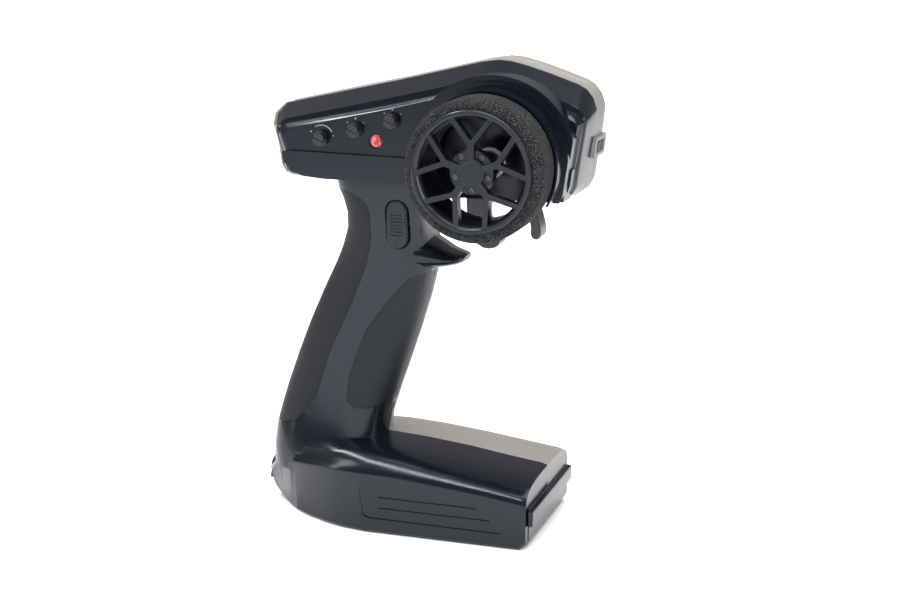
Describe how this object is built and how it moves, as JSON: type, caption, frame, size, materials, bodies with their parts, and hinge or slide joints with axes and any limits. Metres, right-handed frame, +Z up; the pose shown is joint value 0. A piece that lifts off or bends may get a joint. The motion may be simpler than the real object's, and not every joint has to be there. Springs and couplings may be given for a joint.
{
  "type": "radio transmitter controller",
  "caption": "Pistol-grip radio transmitter for model cars: foam steering wheel, finger trigger, trim knobs, channel rocker, power slider and a base that holds the batteries.",
  "frame": {"origin": "point on the flat underside of the base, on the seam between the two case halves, under the battery bay's rear end", "axes": "+X forward towards the trigger and nose, +Y to the user's left (the light grey half), -Y to the steering wheel side, +Z up"},
  "size_m": [0.1484, 0.0907, 0.2016],
  "materials": {
    "dark_shell": "satin gloss blue-black moulding",
    "grey_shell": "fine matte warm light grey moulding",
    "grip_rubber": "fine stippled black rubber",
    "smooth_rubber": "smooth black rubber",
    "foam": "open-cell charcoal foam",
    "rim_plastic": "satin charcoal moulding",
    "black_plastic": "black moulding",
    "gloss_black": "gloss black moulding",
    "red_lens": "translucent red moulding",
    "white_acetal": "natural acetal",
    "steel": "turned steel",
    "dark_steel": "black zinc",
    "plated": "nickel plate",
    "sensor_blue": "sensor moulding",
    "circuit_green": "lacquered circuit board",
    "chip_black": "moulded chip packages",
    "shield_tin": "tinned steel",
    "cell_wrap": "plain printed film, no lettering",
    "red_wire": "insulated wire",
    "yellow_wire": "insulated wire"
  },
  "bodies": {
    "housing": {"right_case_half": "dark_shell", "left_case_half": "grey_shell", "rear_grip_pad": "grip_rubber", "front_grip_pad": "smooth_rubber", "case_screws": "dark_steel", "shaft_bush": "white_acetal", "steering_spring": "steel", "steering_sensor": "sensor_blue", "mechanism_frame": "black_plastic", "frame_screws": "steel", "trigger_pin": "steel", "trigger_spring": "steel", "throttle_sensor": "sensor_blue", "trim_sensors": "sensor_blue", "trim_board": "circuit_green", "button_switch": "chip_black", "rocker_pin": "steel", "rocker_switch": "chip_black", "power_bezel": "grey_shell", "power_switch": "shield_tin", "main_board": "circuit_green", "board_chips": "chip_black", "radio_shield": "shield_tin", "antenna": "black_plastic", "buzzer": "chip_black", "board_screws": "steel", "battery_tray": "black_plastic", "battery_cells": "cell_wrap", "contact_springs": "plated", "contact_plates": "plated", "battery_leads": "red_wire", "sensor_leads": "yellow_wire"},
    "steering_wheel": {"foam_ring": "foam", "wheel_rim": "rim_plastic", "hub_cap": "rim_plastic", "lug_screws": "dark_steel", "wheel_screw": "steel", "wheel_shaft": "steel", "return_lever": "white_acetal"},
    "trigger": {"trigger_lever": "black_plastic", "trigger_gear": "white_acetal"},
    "pinion": {"throttle_pinion": "white_acetal"},
    "rate_dial": {"rate_knob": "gloss_black"},
    "throttle_trim": {"throttle_trim_knob": "gloss_black"},
    "steering_trim": {"steering_trim_knob": "gloss_black"},
    "button": {"status_button": "red_lens"},
    "rocker": {"channel_rocker": "rim_plastic"},
    "slider": {"power_slider": "black_plastic"},
    "door": {"battery_door": "dark_shell"}
  },
  "joints": [
    {"name": "steering_turn", "type": "hinge", "parent": "housing", "child": "steering_wheel", "pos_m": [0.0419, 0, 0.1624], "axis": [0, -1, 0], "range_deg": [-38, 38], "stiffness_Nm_per_rad": 0.04},
    {"name": "trigger_pull", "type": "hinge", "parent": "housing", "child": "trigger", "pos_m": [0.046, 0, 0.1519], "axis": [0, 1, 0], "range_deg": [-12, 20], "stiffness_Nm_per_rad": 0.08},
    {"name": "pinion_turn", "type": "hinge", "parent": "housing", "child": "pinion", "pos_m": [0.03469, 0, 0.16321], "axis": [0, 1, 0], "range_deg": [-61, 37]},
    {"name": "rate_turn", "type": "hinge", "parent": "housing", "child": "rate_dial", "pos_m": [-0.0347, 0, 0.1681], "axis": [0, -1, 0], "range_deg": [-135, 135]},
    {"name": "throttle_trim_turn", "type": "hinge", "parent": "housing", "child": "throttle_trim", "pos_m": [-0.0194, 0, 0.1722], "axis": [0, -1, 0], "range_deg": [-135, 135]},
    {"name": "steering_trim_turn", "type": "hinge", "parent": "housing", "child": "steering_trim", "pos_m": [-0.003, 0, 0.1766], "axis": [0, -1, 0], "range_deg": [-135, 135]},
    {"name": "button_press", "type": "slide", "parent": "housing", "child": "button", "axis": [0, 1, 0], "range_m": [0, 0.0006], "stiffness_N_per_m": 400},
    {"name": "channel_rock", "type": "hinge", "parent": "housing", "child": "rocker", "pos_m": [-0.0019, -0.015, 0.1326], "axis": [1, 0, 0], "range_deg": [-6, 6]},
    {"name": "power_slide", "type": "slide", "parent": "housing", "child": "slider", "axis": [0, 1, 0], "range_m": [0, 0.004]},
    {"name": "door_slide", "type": "slide", "parent": "housing", "child": "door", "axis": [1, 0, 0], "range_m": [0, 0.068]}
  ],
  "couplings": [
    {"joint": "pinion_turn", "follows": "trigger_pull", "ratio": -3}
  ]
}
